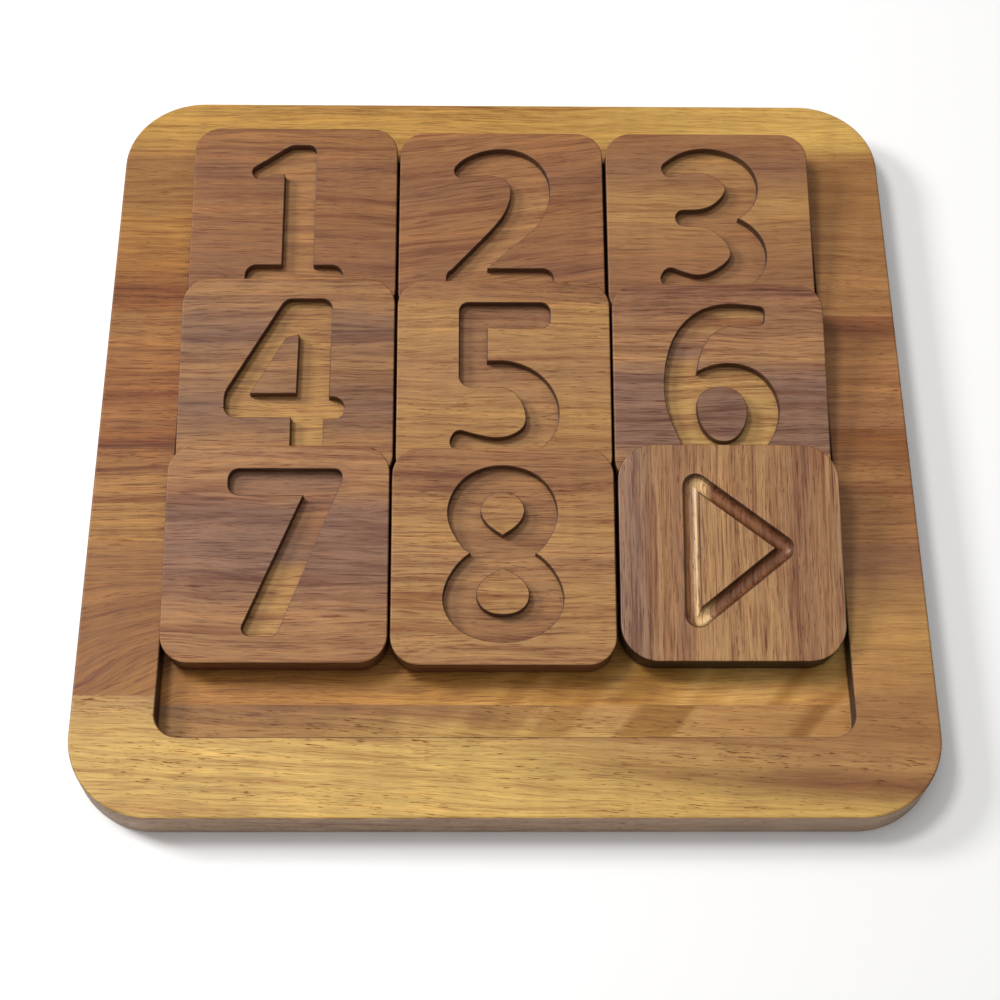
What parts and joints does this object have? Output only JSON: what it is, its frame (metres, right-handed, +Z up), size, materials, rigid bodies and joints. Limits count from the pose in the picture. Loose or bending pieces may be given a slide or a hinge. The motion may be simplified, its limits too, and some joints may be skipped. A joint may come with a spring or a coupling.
{
  "type": "number tile tray puzzle",
  "caption": "Square wooden tray with a shallow square recess holding a grid of loose carved number tiles and a start tile, shown leaning shingled on each other.",
  "frame": {"origin": "centre of the tray's underside", "axes": "+Z up out of the recess; +Y to the back, towards the row of tiles 1 to 3; +X to the right as the numerals are read"},
  "size_m": [0.28, 0.28, 0.0324],
  "materials": {
    "tray_wood": "oiled, satin",
    "tile_wood": "oiled, satin",
    "start_tile_wood": "oiled, satin"
  },
  "bodies": {
    "tray": {"stave_1": "tray_wood", "stave_2": "tray_wood", "stave_3": "tray_wood", "stave_4": "tray_wood", "stave_5": "tray_wood", "stave_6": "tray_wood"},
    "tile_1": {"tile_1": "tile_wood"},
    "tile_2": {"tile_2": "tile_wood"},
    "tile_3": {"tile_3": "tile_wood"},
    "tile_4": {"tile_4": "tile_wood"},
    "tile_5": {"tile_5": "tile_wood"},
    "tile_6": {"tile_6": "tile_wood"},
    "tile_7": {"tile_7": "tile_wood"},
    "tile_8": {"tile_8": "tile_wood"},
    "tile_start": {"tile_start": "start_tile_wood"}
  },
  "joints": [
    {"name": "tile_1_draw", "type": "slide", "parent": "tray", "child": "tile_1", "axis": [0, 0.9906, 0.137], "range_m": [0, 0.095]},
    {"name": "tile_2_draw", "type": "slide", "parent": "tray", "child": "tile_2", "axis": [0, 0.9923, 0.1242], "range_m": [0, 0.095]},
    {"name": "tile_3_draw", "type": "slide", "parent": "tray", "child": "tile_3", "axis": [0, 0.9915, 0.1304], "range_m": [0, 0.095]},
    {"name": "tile_4_draw", "type": "slide", "parent": "tray", "child": "tile_4", "axis": [0, 0.9834, 0.1813], "range_m": [0, 0.16]},
    {"name": "tile_5_draw", "type": "slide", "parent": "tray", "child": "tile_5", "axis": [0, 0.9832, 0.1828], "range_m": [0, 0.16]},
    {"name": "tile_6_draw", "type": "slide", "parent": "tray", "child": "tile_6", "axis": [0, 0.9835, 0.1809], "range_m": [0, 0.16]},
    {"name": "tile_7_lift", "type": "slide", "parent": "tray", "child": "tile_7", "axis": [0, 0, 1], "range_m": [0, 0.07]},
    {"name": "tile_8_lift", "type": "slide", "parent": "tray", "child": "tile_8", "axis": [0, 0, 1], "range_m": [0, 0.07]},
    {"name": "tile_start_lift", "type": "slide", "parent": "tray", "child": "tile_start", "axis": [0, 0, 1], "range_m": [0, 0.07]}
  ]
}
